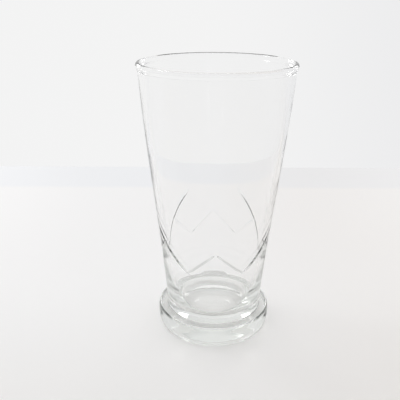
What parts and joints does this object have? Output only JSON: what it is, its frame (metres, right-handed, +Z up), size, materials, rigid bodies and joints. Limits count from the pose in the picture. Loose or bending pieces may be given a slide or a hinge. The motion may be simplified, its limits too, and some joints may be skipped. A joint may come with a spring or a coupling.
{
  "type": "mixing glass",
  "caption": "Clear footed mixing glass with a beaded rim, a tapered bowl with a zigzag of mitre cuts round its lower half, and a rounded solid foot.",
  "frame": {"origin": "centre of the foot's underside, on the turning axis", "axes": "+Z up the turning axis, from the foot to the rim; -Y towards the side where a peak of the zigzag cut faces the viewer, with the long cuts to its left and right; +X to the viewer's right"},
  "size_m": [0.089, 0.089, 0.161],
  "materials": {
    "bowl_glass": "polished clear soda-lime glass with mitre cuts",
    "foot_glass": "fire-polished clear soda-lime glass"
  },
  "bodies": {
    "root": {"bowl": "bowl_glass", "foot": "foot_glass"}
  },
  "joints": []
}
